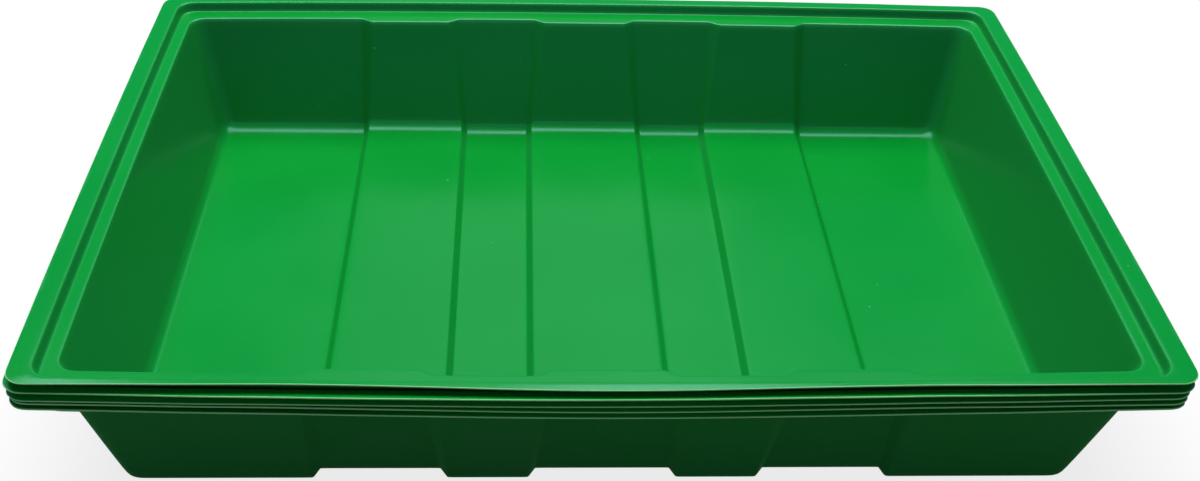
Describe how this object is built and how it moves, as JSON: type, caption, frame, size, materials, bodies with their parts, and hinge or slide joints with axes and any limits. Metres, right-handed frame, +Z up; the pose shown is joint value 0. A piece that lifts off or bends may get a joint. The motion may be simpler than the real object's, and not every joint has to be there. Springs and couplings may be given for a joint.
{
  "type": "seed tray",
  "caption": "Nested stack of shallow rectangular plastic seed trays with a stepped rim, pleated long walls and a panelled floor on low feet; each tray lifts off the one below.",
  "frame": {"origin": "middle of the footprint, on the surface that the feet of the bottom tray stand on", "axes": "+X along the long sides of the trays, +Y across them to the back, +Z up, the way the trays lift off"},
  "size_m": [0.4014, 0.3048, 0.0677],
  "materials": {
    "green_plastic": "satin"
  },
  "bodies": {
    "bottom_tray": {"bottom_tray": "green_plastic"},
    "second_tray": {"second_tray": "green_plastic"},
    "third_tray": {"third_tray": "green_plastic"},
    "fourth_tray": {"fourth_tray": "green_plastic"},
    "top_tray": {"top_tray": "green_plastic"}
  },
  "joints": [
    {"name": "second_tray_lift", "type": "slide", "parent": "bottom_tray", "child": "second_tray", "axis": [0, 0, 1], "range_m": [0, 0.08]},
    {"name": "third_tray_lift", "type": "slide", "parent": "second_tray", "child": "third_tray", "axis": [0, 0, 1], "range_m": [0, 0.08]},
    {"name": "fourth_tray_lift", "type": "slide", "parent": "third_tray", "child": "fourth_tray", "axis": [0, 0, 1], "range_m": [0, 0.08]},
    {"name": "top_tray_lift", "type": "slide", "parent": "fourth_tray", "child": "top_tray", "axis": [0, 0, 1], "range_m": [0, 0.08]}
  ]
}
